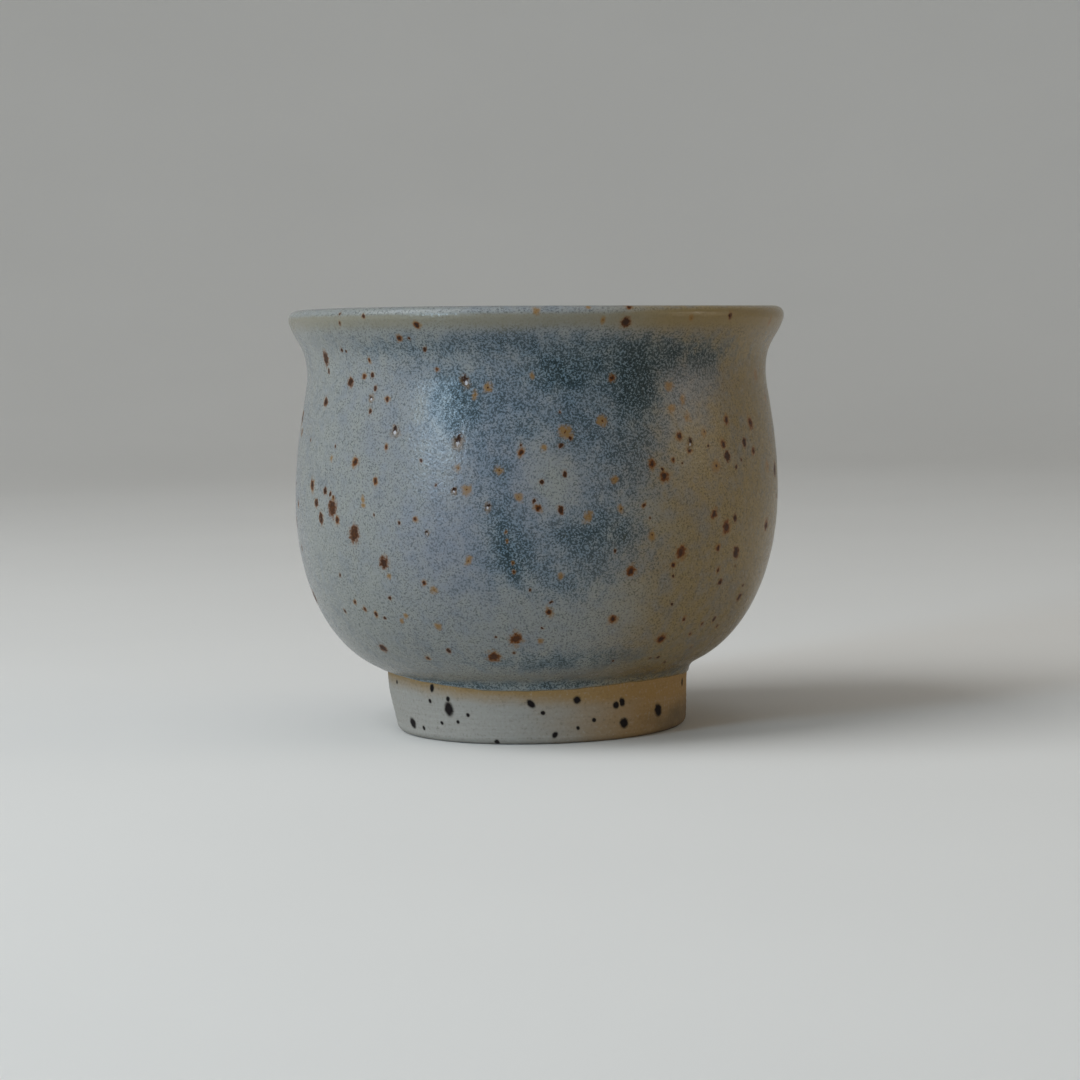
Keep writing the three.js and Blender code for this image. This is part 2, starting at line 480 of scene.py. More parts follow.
# %% Bowl
BUTTON_RADIUS = 3.2
BUTTON_DEPTH = 0.35
HOLLOW_END = (9, 15)  # radii between which the hollow round the button ends
UNDERSIDE_RINGS = 0.03
sag_start = np.array([0, underside])
sag_handle = np.array([bore_top * PULL_UNDER_FLOOR, underside])
sag_leaving = (sag_handle - sag_start) * 2 / 3
sag_arriving = (bore_start - sag_handle) * 2 / 3
sag = sweep(sag_start, sag_leaving, bore_start, sag_arriving, steps=39)
sag[:, 1] += BUTTON_DEPTH * hill(sag[:, 0], BUTTON_RADIUS - 1, BUTTON_RADIUS, *HOLLOW_END)
sag[1:-1, 1] += UNDERSIDE_RINGS * tool.standard_normal(len(sag) - 2)
bowl_section = np.concatenate([sag, skin[:-1:HIDDEN_STRIDE], skin[-1:]])
bowl, bowl_surface = turned("bowl_clay", bowl_section, len(sag))
finish_piece(bowl, "bowl")

# %% [markdown]
# The camera stands a little above the lip and looks slightly down through a long lens, as the
# photograph was taken, with the same slight roll to one side. It is made before the finishes,
# because the spots and pools of the front are placed by looking through it.

# %% Camera
PICTURE = 1080  # pixels, each way
FOCAL = 3386  # pixels
SENSOR = 36.0
CAMERA_PLACE = np.array([0.00044, -0.6193, 0.0867])
PITCH = math.radians(-4.857)
ROLL = math.radians(1.454)
forward = np.array([0, math.cos(PITCH), math.sin(PITCH)])
level_up = np.array([0, -math.sin(PITCH), math.cos(PITCH)])
level_right = np.array([1.0, 0, 0])
camera_right = level_right * math.cos(ROLL) - level_up * math.sin(ROLL)
camera_up = level_up * math.cos(ROLL) + level_right * math.sin(ROLL)


def stand(thing, right, up, back, place):
    """Puts an object at a place, with its three axes along the given directions."""
    axes = np.column_stack([right, up, back, place])
    thing.matrix_world = Matrix([*axes.tolist(), [0, 0, 0, 1]])


lens = bpy.data.cameras.new("camera")
lens.sensor_width = SENSOR
lens.lens = SENSOR * FOCAL / PICTURE
lens.clip_start = 0.01
camera = add_object("camera", lens)
stand(camera, camera_right, camera_up, -forward, CAMERA_PLACE)
bpy.context.scene.camera = camera
print("camera lens", round(lens.lens, 1), "mm")

# %% Looking through the camera
REACHES = np.linspace(0.56, 0.64, 2001)  # metres along a line of sight


def seen_through(x, y, outline, runs):
    """Angle and run of the point of a turned outline that a pixel shows, and millimetres a pixel."""
    centre = PICTURE / 2
    way = forward + camera_right * (x - centre) / FOCAL - camera_up * (y - centre) / FOCAL
    points = (CAMERA_PLACE + REACHES[:, None] * way) / MM
    x_from_middle = points[:, 0] - sideways(points[:, 2])
    level = points[:, 2] + lip_drop(x_from_middle, points[:, 1], points[:, 2])
    order = np.argsort(outline[:, 1], kind="stable")
    edge = np.interp(level, outline[order, 1], outline[order, 0], left=0, right=0)
    inside = np.hypot(x_from_middle, points[:, 1]) < edge
    if not inside.any():
        return None
    hit = int(np.argmax(inside))
    run = np.interp(level[hit], outline[order, 1], runs[order])
    return math.atan2(x_from_middle[hit], -points[hit, 1]), run, REACHES[hit] / FOCAL / MM


FOOT_ROWS = EDGE_STEPS + SIDE_ROWS  # rows of the foot's section that can be seen from outside
ON_BOWL = (outer_surface.shown_outline, outer_surface.shown_runs)
ON_FOOT = (foot_section[:FOOT_ROWS], foot_surface.shown_runs[:FOOT_ROWS])
print("the middle pixel shows", seen_through(PICTURE / 2, PICTURE / 2, *ON_BOWL))

# %% [markdown]
# Iron in the clay melts through the glaze in the kiln and leaves spots: dark ones, rusty ones with a
# stained border, faint ochre ones that never broke through, and blisters that burst and left a small
# pit. They could be scattered by a random texture, but the eye knows this cup by its larger spots, so
# those of the front are listed one by one: x, y and radius, in pixels of the photograph.

# %% Spots on the front
DARK_SPOTS = [
    (325, 358, 6), (350, 382, 4.5), (325, 402, 4), (341, 350, 2), (345, 351, 1.5), (328, 371, 2.2),
    (372, 375, 2.3), (375, 388, 2.2), (370, 411, 2.3), (335, 446, 1.3), (310, 440, 1.5), (421, 460, 1.7),
    (425, 349, 2.2), (409, 338, 1.4), (339, 323, 1.8), (521, 445, 1.3), (561, 445, 2.2), (570, 438, 1.6),
    (560, 412, 1), (662, 469, 1.6), (682, 463, 1), (727, 456, 5), (744, 442, 4), (736, 467, 2),
    (741, 460, 1.5), (708, 446, 1.5), (325, 491, 3.5), (330, 494, 2), (316, 503, 3.9), (332, 508, 7.5),
    (321, 518, 4.8), (354, 534, 7.2), (384, 563, 5.8), (340, 575, 1.7), (399, 523, 1.5), (374, 515, 1.3),
    (390, 598, 2), (542, 482, 2), (534, 501, 2), (565, 474, 2.3), (561, 510, 3.2), (615, 551, 1.5),
    (650, 518, 1.2), (673, 576, 1.5), (735, 518, 3.5), (736, 552, 5.5), (735, 566, 1.2), (720, 582, 3.2),
    (743, 585, 1.8), (739, 597, 4), (345, 611, 2), (385, 618, 1.8), (383, 648, 5), (449, 651, 2.8),
    (514, 653, 1.8), (542, 628, 1.3), (496, 637, 1.2), (551, 602, 1.5), (672, 604, 1.8), (714, 619, 2.8),
    (658, 657, 2.2), (665, 662, 2), (650, 658, 1.5), (613, 661, 1.5), (626, 322, 5), (730, 316, 3),
    (530, 590, 1.2), (436, 485, 1.3), (339, 314, 1.5), (363, 316, 2), (339, 324, 1.6), (729, 316, 1.8),
]
RUSTY_SPOTS = [
    (399, 338, 3.2), (417, 325, 3.5), (355, 462, 4), (386, 447, 2.2), (369, 360, 1.8), (364, 376, 2.5),
    (387, 399, 2.5), (437, 369, 2), (521, 452, 3), (612, 378, 3), (652, 464, 4), (673, 460, 2.2),
    (664, 476, 5), (679, 436, 3.5), (689, 450, 3), (726, 420, 4), (750, 423, 5), (723, 444, 4),
    (753, 451, 3.3), (312, 485, 4.7), (333, 497, 1.7), (337, 520, 3.5), (375, 481, 3), (415, 519, 2.2),
    (424, 583, 2.2), (538, 508, 3.2), (644, 505, 2), (681, 552, 6), (631, 571, 4.7), (673, 565, 2.7),
    (718, 548, 3), (726, 527, 6), (714, 514, 4.3), (766, 525, 5), (718, 570, 2.4), (365, 609, 2.3),
    (376, 614, 2.5), (355, 602, 2), (428, 658, 2.2), (516, 639, 6.4), (494, 657, 6.1), (549, 612, 3.5),
    (613, 619, 4.3), (684, 619, 2.4), (717, 626, 2), (702, 624, 1.8), (690, 634, 1.8), (691, 647, 1.3),
    (661, 639, 5), (513, 563, 1.2), (514, 572, 1.4), (506, 532, 1), (507, 541, 1), (629, 307, 3),
]
OCHRE_SPOTS = [
    (331, 458, 2), (488, 387, 3.5), (475, 395, 2.5), (532, 375, 2), (565, 432, 5.5), (602, 421, 4),
    (669, 386, 4), (682, 399, 3.3), (671, 409, 3.3), (687, 417, 3), (704, 432, 3), (716, 466, 5),
    (458, 468, 2.6), (499, 470, 3), (467, 490, 4), (519, 497, 3), (544, 448, 2.2), (588, 517, 3.8),
    (614, 479, 3), (621, 509, 2.5), (652, 535, 3.5), (468, 561, 3), (434, 590, 2.5), (561, 576, 2.5),
    (406, 616, 2), (402, 621, 1.8), (438, 626, 3), (363, 505, 2), (363, 499, 2), (389, 576, 1.8),
    (540, 641, 2.5), (691, 318, 2), (767, 466, 4), (755, 376, 4), (765, 398, 4), (769, 322, 3),
    (537, 310, 3), (588, 307, 1.6), (603, 320, 2.2),
]
BLISTERS = [
    (371, 398, 3), (395, 431, 4), (466, 381, 4.5), (458, 442, 5), (690, 443, 3.4), (454, 491, 2.5),
    (488, 507, 3), (427, 533, 2),
]
FOOT_SPOTS = [
    (397, 682, 1.7), (432, 688, 2.8), (430, 701, 1.8), (448, 699, 2), (449, 709, 5.2), (468, 715, 1.7),
    (442, 723, 1.6), (458, 722, 1.5), (413, 723, 4.5), (424, 728, 1.8), (531, 704, 3.3), (497, 742, 2.4),
    (543, 713, 1.9), (577, 700, 3.2), (616, 705, 3), (622, 702, 3.2), (594, 720, 1.8), (578, 728, 1.6),
    (624, 723, 4.2), (658, 710, 5), (555, 735, 2.5), (682, 682, 2.8),
]
# How much of the radius the dark core takes, how strong the stain round it is, and how deep the pit.
DARK = (1.0, 0.4, 0.0)
RUSTY = (0.95, 0.9, 0.0)
OCHRE = (0.2, 1.0, 0.0)
BLISTER = (0.3, 0.6, 1.0)
BLACK = (1.15, 0.3, 0.0)  # on bare clay
GROWTH = 1.22  # how far the soft border of a spot reaches past the radius that is read off
KINDS = [(DARK_SPOTS, DARK), (RUSTY_SPOTS, RUSTY), (OCHRE_SPOTS, OCHRE), (BLISTERS, BLISTER)]


def placed(pixels, make, outline):
    """Spots as rows of angle, run and radius in millimetres, followed by how they are made."""
    rows = []
    for x, y, radius in pixels:
        seen = seen_through(x, y, *outline)
        if seen:
            angle, run, scale = seen
            rows.append((angle, run, radius * GROWTH * scale, *make))
    return np.array(rows)


front_spots = np.concatenate([placed(pixels, make, ON_BOWL) for pixels, make in KINDS])
foot_spots = placed(FOOT_SPOTS, BLACK, ON_FOOT)
print(len(front_spots), "spots on the bowl and", len(foot_spots), "on the foot are placed by hand")

# %% [markdown]
# The rest of the cup has as many spots as its front. A seeded generator drops them in loose
# groups, as grains of iron lie in clay, with many small ones for each large one.

# %% Spots on the rest of the cup
BACK = (1.35, 2 * math.pi - 1.35)
ROUND = (-math.pi, math.pi)
GROUP_ANGLE = 0.11
GROUP_RUN = 4.0
SMALLEST = 0.32
LARGEST = 1.5
ON_CLAY = 0.65  # size of a spot on bare clay, beside one in glaze


def scattered(seed, groups, angles, runs):
    """Groups of random spots between two angles and two runs, as rows like those placed by hand."""
    chance = np.random.default_rng(seed)
    rows = []
    for _ in range(groups):
        middle = (chance.uniform(*angles), chance.uniform(*runs))
        for _ in range(chance.integers(1, 6)):
            angle = middle[0] + chance.normal(0, GROUP_ANGLE)
            run = middle[1] + chance.normal(0, GROUP_RUN)
            radius = min(SMALLEST + chance.exponential(SMALLEST), LARGEST)
            make = (DARK, RUSTY, RUSTY, OCHRE)[chance.integers(4)]
            if angles[0] < angle < angles[1] and runs[0] < run < runs[1]:
                rows.append((angle, run, radius, *make))
    return np.array(rows)


def all_dark(spots):
    """The same spots on bare clay, where the iron stays smaller and black and stains little."""
    make = np.tile(BLACK, (len(spots), 1))
    return np.column_stack([spots[:, :2], ON_CLAY * spots[:, 2], make])


outer_end = outer_surface.length
liner_end = liner_surface.length
side_end = ON_FOOT[1][-1]
outer_spots = np.concatenate([front_spots, scattered(21, 74, BACK, (3, outer_end - 1))])
liner_spots = scattered(22, 60, ROUND, (1, liner_end - 3))
foot_behind = all_dark(scattered(23, 14, BACK, (1, side_end - 2)))
foot_inside = all_dark(scattered(24, 16, ROUND, (side_end + 6, foot_surface.whole)))
foot_spots = np.concatenate([foot_spots, foot_behind, foot_inside])
bowl_spots = all_dark(scattered(25, 12, ROUND, (2, bowl_surface.length)))
print(len(outer_spots), "spots outside,", len(liner_spots), "inside,", len(foot_spots), "on the foot")

# %% [markdown]
# A face can carry its place relative to one spot: how far aside and how far up, in radii. The shader
# then draws a spot of any size on it, sharper than the mesh. Melting iron runs down a little, so each
# spot is a slightly tilted upright oval. Large and small spots are kept in two layers, so that a small
# one may lie in the stain of a large one.

# %% Telling each face its nearest spot
SMALL_SPOT = 0.45
FAR = 9.0
TILT = 0.35
STRETCH = (0.97, 1.22)


def wrapped(angle):
    """The angle brought to between minus and plus half a turn."""
    return (angle + math.pi) % (2 * math.pi) - math.pi


def set_vectors(piece, name, domain, values):
    """Stores one vector for each corner or point of a piece."""
    attribute = piece.data.attributes.new(name, "FLOAT_VECTOR", domain)
    attribute.data.foreach_set("vector", np.ravel(values))


def mark_layer(piece, surface, spots, layer):
    """Stores, at each corner, the place in the nearest spot and how that spot is made."""
    face_angle = surface.middle[surface.starts]
    face_radius = np.add.reduceat(surface.radius, surface.starts) / surface.sizes
    face_run = np.add.reduceat(surface.run, surface.starts) / surface.sizes
    nearest = np.full(len(face_angle), FAR)
    chosen = np.zeros(len(face_angle), int)
    for index, (angle, run, radius) in enumerate(spots[:, :3]):
        aside = wrapped(face_angle - angle) * face_radius
        away = np.hypot(aside, face_run - run) / radius
        closer = away < nearest
        nearest[closer] = away[closer]
        chosen[closer] = index
    spot = spots[chosen[surface.face]]
    angle, run, radius, tilt, stretch = spot[:, [0, 1, 2, 6, 7]].T
    turn = wrapped(surface.middle - angle) + surface.angle - surface.middle
    aside = turn * surface.radius / radius
    above = (surface.run - run) / radius
    across = (aside * np.cos(tilt) - above * np.sin(tilt)) * stretch
    lengthwise = (above * np.cos(tilt) + aside * np.sin(tilt)) / stretch
    place = np.stack([across, lengthwise, radius], axis=1)
    place[nearest[surface.face] >= FAR] = (FAR, FAR, 1)
    set_vectors(piece, layer + "_place", "CORNER", place)
    set_vectors(piece, layer + "_make", "CORNER", spot[:, 3:6])


def mark_spots(piece, surface, spots):
    """Gives each spot of a piece a tilt and a stretch, and marks the large and the small ones."""
    shape = np.random.default_rng(len(spots))
    tilt = shape.normal(0, TILT, len(spots))
    stretch = shape.uniform(*STRETCH, len(spots))
    spots = np.column_stack([spots, tilt, stretch])
    small = spots[:, 2] < SMALL_SPOT
    mark_layer(piece, surface, spots[~small], "large_spot")
    mark_layer(piece, surface, spots[small], "small_spot")
    print(piece.name, "carries", int((~small).sum()), "large and", int(small.sum()), "small spots")


mark_spots(outer_glaze, outer_surface, outer_spots)
mark_spots(liner_glaze, liner_surface, liner_spots)
mark_spots(foot_ring, foot_surface, foot_spots)
mark_spots(bowl, bowl_surface, bowl_spots)

# %% [markdown]
# Where the glaze lies thick it turns blue: a lavender veil that covers much of the front, and in it
# pools crowded with dark teal grains. The right side is warmer and a little darker, partly as olive
# glaze and partly as painted warm shade from the light on that side. These are broad, soft fields, so
# each is a value at the points of the mesh, the sum of soft round pools.
# Those of the front are listed in pixels (x, y, half width, half height, strength), and a
# strength below 0 clears an island; the back gets seeded ones.

# %% Pools of blue
BLUE_POOLS = [
    (545, 385, 115, 60, 0.36), (575, 455, 85, 70, 0.28), (560, 545, 80, 50, 0.28),
    (480, 440, 45, 75, 0.14), (556, 372, 30, 18, 0.50), (640, 385, 26, 34, 0.75),
    (602, 366, 36, 22, 0.28), (505, 400, 34, 30, -0.06), (487, 490, 24, 28, 0.12),
    (497, 528, 20, 26, 0.42), (512, 560, 21, 24, 0.50), (600, 533, 46, 20, 0.36),
    (540, 342, 190, 16, 0.27), (690, 352, 80, 20, 0.48), (560, 662, 100, 20, 0.54),
    (560, 585, 70, 26, 0.25), (620, 440, 44, 46, 0.14), (640, 490, 40, 40, 0.12),
    # The pool at 390, 347 is painted shade: it darkens the neck under the flared lip.
    (452, 402, 27, 32, 0.52), (390, 347, 70, 14, 0.25), (525, 430, 22, 18, 0.25),
    (552, 475, 25, 38, -0.55), (705, 385, 55, 45, 0.20),
]
VEILS = [
    (530, 420, 140, 100, 0.75), (530, 540, 105, 85, 0.5), (430, 560, 60, 60, 0.3),
    (560, 655, 120, 35, 0.20), (540, 340, 240, 14, 0.12), (360, 420, 50, 80, 0.2),
    (553, 473, 28, 42, -0.8), (690, 375, 60, 40, 0.45),
]
BEHIND = (1.7, 2 * math.pi - 1.7)


def pools_seen(pixels):
    """Pools as rows of angle, run, half width, half height and strength, in millimetres."""
    rows = []
    for x, y, width, height, strength in pixels:
        angle, run, scale = seen_through(x, y, *ON_BOWL)
        rows.append((angle, run, width * scale, height * scale, strength))
    return rows


def pools_dropped(seed, count, angles, runs, sizes):
    """Seeded pools, for the sides that no picture shows."""
    chance = np.random.default_rng(seed)
    rows = []
    for _ in range(count):
        size = chance.uniform(*sizes)
        place = (chance.uniform(*angles), chance.uniform(*runs))
        rows.append((*place, size, size * chance.uniform(0.5, 0.9), chance.uniform(0.15, 0.5)))
    return rows


def pooled(surface, pools):
    """Sum of the pools at each point of a surface, between 0 and 1."""
    total = np.zeros(len(surface.point_angle))
    for angle, run, width, height, strength in pools:
        aside = wrapped(surface.point_angle - angle) * surface.point_radius / width
        above = (surface.point_run - run) / height
        total += strength * np.exp(-(aside**2) - above**2)
    return np.clip(total, 0, 1)


outer_pools = pools_seen(BLUE_POOLS) + pools_dropped(31, 30, BEHIND, (24, outer_end - 8), (6, 14))
outer_veils = pools_seen(VEILS) + pools_dropped(32, 22, BEHIND, (14, outer_end - 8), (10, 20))
liner_pools = pools_dropped(33, 34, ROUND, (8, liner_end - 20), (6, 13))
print(len(outer_pools), "pools and", len(outer_veils), "veils outside,", len(liner_pools), "pools inside")

# %% Tones of the outer coat
BREAK_TOP = 2.7  # from the crest down to the outer edge of the lip


def set_tones(piece, name, *tones):
    """Stores up to three values at each point of a piece, as one vector."""
    rows = np.zeros((len(piece.data.vertices), 3))
    rows[:, : len(tones)] = np.column_stack(tones)
    set_vectors(piece, name, "POINT", rows)


run = outer_surface.point_run
below_crest = outer_end - run
to_right = np.sin(outer_surface.point_angle)
blue = np.clip(pooled(outer_surface, outer_pools) + 0.5 * hill(run, 0.2, 0.7, 1.2, 4.5), 0, 1)
veil = pooled(outer_surface, outer_veils)
# Partly olive glaze and partly painted warm shade: the right side is made warmer and darker.
olive_and_warm_shade = rising(to_right, 0, 0.75) * (1 - 0.5 * rising(np.abs(outer_surface.point_angle), 1.5, 2.2))
set_tones(outer_glaze, "glaze_tone", blue, veil, olive_and_warm_shade)
break_start = BREAK_TOP * (1 - 0.4 * rising(to_right, 0.1, 0.9))
lip_thin = rising(below_crest - break_start, -0.6, 0.6) * falling(below_crest, 3.2, 7.2)
line_thin = falling(run, 0.1, 0.55)
set_tones(outer_glaze, "glaze_edge", lip_thin, line_thin)
print("blue covers", round(float((blue > 0.5).mean()) * 100), "percent of the outer coat's points")

# %% Tones of the inner coat
run = liner_surface.point_run
floor_blue = 0.9 * falling(liner_end - run, 8, 26)
blue = np.clip(floor_blue + 0.7 * pooled(liner_surface, liner_pools), 0, 1)
veil = 0.35 + 0.5 * falling(run, 0.4, 1.2)
# Partly painted warm shade: the inside is made warmer towards the right.
olive_and_warm_shade = 0.25 * rising(np.sin(liner_surface.point_angle), 0.1, 0.9)
set_tones(liner_glaze, "glaze_tone", blue, veil, olive_and_warm_shade)
set_tones(liner_glaze, "glaze_edge", 0.4 * falling(run, 0.1, 0.6))
print("blue covers", round(float((blue > 0.5).mean()) * 100), "percent of the inner coat's points")

# %% Toasting of the bare clay, and painted shade on the right of the foot
height = foot_surface.point_height
to_right = np.sin(foot_surface.point_angle)
under_line = LINE + glaze_line_shift(foot_surface.point_angle) - height
on_side = (foot_surface.point_radius > bore_base + FOOT_RING_WIDTH / 2).astype(float)
beside_glaze = 0.68 * falling(under_line, 0.3, 3.8) + 0.2 * falling(under_line, 0.1, 1.0)
# Real toasting beside the glaze, and painted warm shade that grows towards the right of the foot.
toast_and_warm_shade = np.clip(beside_glaze + 0.9 * rising(to_right, -0.35, 0.85), 0, 1)
toast_and_warm_shade = toast_and_warm_shade * on_side + 0.35 * (1 - on_side)
# Painted shade: the lower right of the foot is darkened to brown.
painted_shade_on_right = 0.85 * rising(to_right, 0.4, 0.95) * falling(height, 2, 9) * on_side
# Darker at the resting edge, with the painted shade of the right added.
dark_edge_and_painted_shade = 0.35 * falling(height, 0, 0.7) + painted_shade_on_right
set_tones(foot_ring, "clay_tone", toast_and_warm_shade, dark_edge_and_painted_shade)
set_tones(bowl, "clay_tone", 0.6 * rising(bowl_surface.point_radius, 6, 22))
print("toasted clay:", round(float(toast_and_warm_shade.mean()), 2), "of the foot")

# %% [markdown]
# Materials are written as node trees. A few short helpers keep that readable: each adds one node
# and returns what the next one needs, and the numbers that nodes give can be added and multiplied
# as in a formula. Colours are written as they look on a screen, from 0 to 255, and turned into the
# linear values that shaders use.

# %% Helpers for node trees
def tone(red, green, blue):
    """A screen colour as a linear RGBA colour."""
    channel = np.array([red, green, blue]) / 255
    linear = np.where(channel <= 0.04045, channel / 12.92, ((channel + 0.055) / 1.055) ** 2.4)
    return (*linear.tolist(), 1.0)


class Value:
    """A number that a node gives. Each sum, difference or product of such numbers adds a node."""

    def __init__(self, wiring, socket):
        self.wiring = wiring
        self.socket = socket

    def __add__(self, other):
        return self.wiring.math("ADD", self, other)

    def __sub__(self, other):
        return self.wiring.math("SUBTRACT", self, other)

    def __mul__(self, other):
        return self.wiring.math("MULTIPLY", self, other)


class Wiring:
    """Short ways to add nodes to one node tree."""

    def __init__(self, tree):
        self.tree = tree

    def fill(self, sockets, values):
        """Links values to the sockets of those names, or sets the sockets to plain values."""
        for name, value in values.items():
            if isinstance(value, Value):
                value = value.socket
            if isinstance(value, bpy.types.NodeSocket):
                self.tree.links.new(value, sockets[name])
            else:
                sockets[name].default_value = value

    def node(self, kind, inputs=None, **settings):
        """A node with its settings made and its inputs filled."""
        node = self.tree.nodes.new(kind)
        for name, value in settings.items():
            setattr(node, name, value)
        self.fill(node.inputs, inputs or {})
        return node

    def math(self, operation, first, second):
        """Sum, product or another operation on two numbers."""
        node = self.node("ShaderNodeMath", {0: first, 1: second}, operation=operation)
        return Value(self, node.outputs[0])

    def length(self, x, y):
        """Distance of the point x, y from the origin."""
        return self.math("POWER", x * x + y * y, 0.5)

    def step(self, value, low, high):
        """0 at low, 1 at high, with a smooth step between; low may be above high."""
        inputs = {"Value": value, "From Min": low, "From Max": high}
        node = self.node("ShaderNodeMapRange", inputs, interpolation_type="SMOOTHSTEP")
        return Value(self, node.outputs[0])

    def mix(self, share, first, second):
        """A share of the second colour over the first."""
        inputs = {0: share, 6: first, 7: second}
        return self.node("ShaderNodeMix", inputs, data_type="RGBA").outputs[2]

    def noise(self, place, scale, detail=2.0, crispness=0.55):
        """Cloudy noise between 0 and 1, with that many lumps to the metre."""
        inputs = {"Vector": place, "Scale": scale, "Detail": detail, "Roughness": crispness}
        return Value(self, self.node("ShaderNodeTexNoise", inputs).outputs["Fac"])

    def split(self, vector):
        """The three parts of a vector."""
        return [Value(self, part) for part in self.node("ShaderNodeSeparateXYZ", {0: vector}).outputs]

    def attribute(self, name):
        """A vector that the mesh carries."""
        return self.node("ShaderNodeAttribute", attribute_name=name).outputs["Vector"]


def new_group(name, inputs, outputs):
    """An empty node group with named sockets: its wiring, its inputs and its outputs."""
    tree = bpy.data.node_groups.new(name, "ShaderNodeTree")
    for direction, sockets in (("INPUT", inputs), ("OUTPUT", outputs)):
        for label, kind in sockets.items():
            tree.interface.new_socket(name=label, in_out=direction, socket_type="NodeSocket" + kind)
    wiring = Wiring(tree)
    return wiring, wiring.node("NodeGroupInput").outputs, wiring.node("NodeGroupOutput").inputs


print("white is written as", tone(255, 255, 255))

# %% [markdown]
# Iron spots are the first effect that all four materials share. The mesh tells how far a point lies
# from the middle of its spot; noise makes the border ragged. The group gives five masks: the core,
# its dark heart, which is paler in the middle of a large spot, the stain that spreads round it, the
# shape of a burst blister, and a painted glint on the drop of glossy glass that gathers in it. The
# upper side of a blister's pit is painted dark into the core and heart, as shade in a hollow.

# %% Group: iron spots
LARGE_RADII = (1.15, 1.4)  # where a spot becomes large enough for a paler middle
spots, given, result = new_group(
    "iron_spots",
    {"Place": "Vector", "Make": "Vector", "Position": "Vector", "Raggedness": "Float"},
    {"Core": "Float", "Heart": "Float", "Stain": "Float", "Pit": "Float", "Glint": "Float"},
)
aside, above, radius = spots.split(given["Place"])
size, staining, pitting = spots.split(given["Make"])
ragged = (spots.noise(given["Position"], 1900, 3) - 0.5) * given["Raggedness"]
fringe = (spots.noise(given["Position"], 900, 2) - 0.5) * 2.0
edge = spots.length(aside, above) + ragged

core = spots.step(edge, size * 1.15, size * 0.6)
dark_reach = size * (staining * -0.5 + 1.2)
heart = spots.step(edge, dark_reach, dark_reach * 0.35)
paler_middle = spots.step(edge, 0.5, 0.1) * spots.step(radius, *LARGE_RADII)
heart = heart * (paler_middle * -0.4 + 1.0)
halo = spots.math("DIVIDE", 0.25, radius) + 1.4
stain = spots.step(edge + fringe, halo, 0.3) * staining

bowl_of_pit = spots.step(edge, 0.8, 0.2)
rim_of_pit = spots.step(edge, 1.3, 0.95) * spots.step(edge, 0.6, 0.95)
pit = (rim_of_pit - bowl_of_pit) * pitting
# Painted shade: the upper side of a blister's pit is dark, as in a hollow lit from above.
painted_pit_shade = spots.step(edge - above * 0.55, 0.6, 0.3) * pitting
core = spots.math("MAXIMUM", core, painted_pit_shade)
heart = spots.math("MAXIMUM", heart, painted_pit_shade)
# Painted highlight: a pale glint on the glossy drop in a blister; its lower roughness is real.
drop_edge = spots.length(aside, above + 0.25) + ragged * 0.6
glint = spots.step(drop_edge, 0.42, 0.22) * pitting
spots.fill(result, {"Core": core, "Heart": heart, "Stain": stain, "Pit": pit, "Glint": glint})
print("iron_spots has", len(spots.tree.nodes), "nodes")

# %% [markdown]
# The ground of the glaze is shared by the outer and the inner coat. Four colours lie over each other:
# a pale sage grey, a warm olive that on the right side is partly painted warm shade, the lavender veil
# and the teal of the pools. Fine dark grains stand in all of them, few in the pale parts and crowded in
# the pools, as crystals do in such a glaze. Where the coat runs thin, at the lip and at its lower line,
# the clay warms it to ochre.

# %% Group: ground of the glaze
ground, given, result = new_group(
    "glaze_ground",
    {
        "Position": "Vector", "Tone": "Vector", "Edge": "Vector",
        "Pale": "Color", "Veil": "Color", "Olive_and_warm_shade": "Color", "Pool": "Color",
        "Grain": "Color", "Fleck": "Color", "Break": "Color",
    },
    {"Color": "Color", "Roughness": "Float", "Height": "Float"},
)
place = given["Position"]
blue, veil, olive_and_warm_shade = ground.split(given["Tone"])
lip, line, _ = ground.split(given["Edge"])
drift = ground.noise(place, 110, 3) - 0.5
flock = ground.noise(place, 430, 3) - 0.5
fine = ground.noise(place, 2900, 2, 0.75)
cloud = drift * 0.7 + flock * 0.8

pool = ground.step(blue + cloud, 0.0, 1.0)
milky = ground.step(veil + cloud * 1.2, -0.2, 1.0)
# The olive colour over the right side is partly painted warm shade.
olive_and_warm_shade_share = ground.step(olive_and_warm_shade + drift * 0.9, 0.0, 1.0)
color = ground.mix(olive_and_warm_shade_share, given["Pale"], given["Olive_and_warm_shade"])
color = ground.mix(milky * 0.85, color, given["Veil"])
# Pools on the right take the olive colour too, partly as painted warm light.
deep = ground.mix(olive_and_warm_shade_share * 0.25, given["Pool"], given["Olive_and_warm_shade"])
color = ground.mix(pool * 0.55, color, deep)

crowd = fine + pool * 0.12 + milky * 0.01
grain = ground.step(crowd, 0.535, 0.60) * (pool * 0.45 + 0.50)
color = ground.mix(grain, color, given["Grain"])
fleck = ground.step(fine, 0.42, 0.30) * (pool * -0.15 + 0.2)
color = ground.mix(fleck, color, given["Fleck"])
thin_lip = ground.step(lip + cloud * 0.9, 0.05, 0.95)
thin_line = ground.step(line + flock * 0.6, 0.25, 0.75)
thin = ground.math("MAXIMUM", thin_lip, thin_line) * 0.85
color = ground.mix(thin, color, ground.mix(olive_and_warm_shade_share, given["Break"], given["Olive_and_warm_shade"]))

roughness = flock * 0.14 + grain * 0.05 + lip * -0.06 + 0.25
swell = ground.noise(place, 620, 1)
peel = ground.noise(place, 1600, 2)
height = swell * 0.9 + peel * 3.0 + fine * 0.5
ground.fill(result, {"Color": color, "Roughness": roughness, "Height": height})
print("glaze_ground has", len(ground.tree.nodes), "nodes")

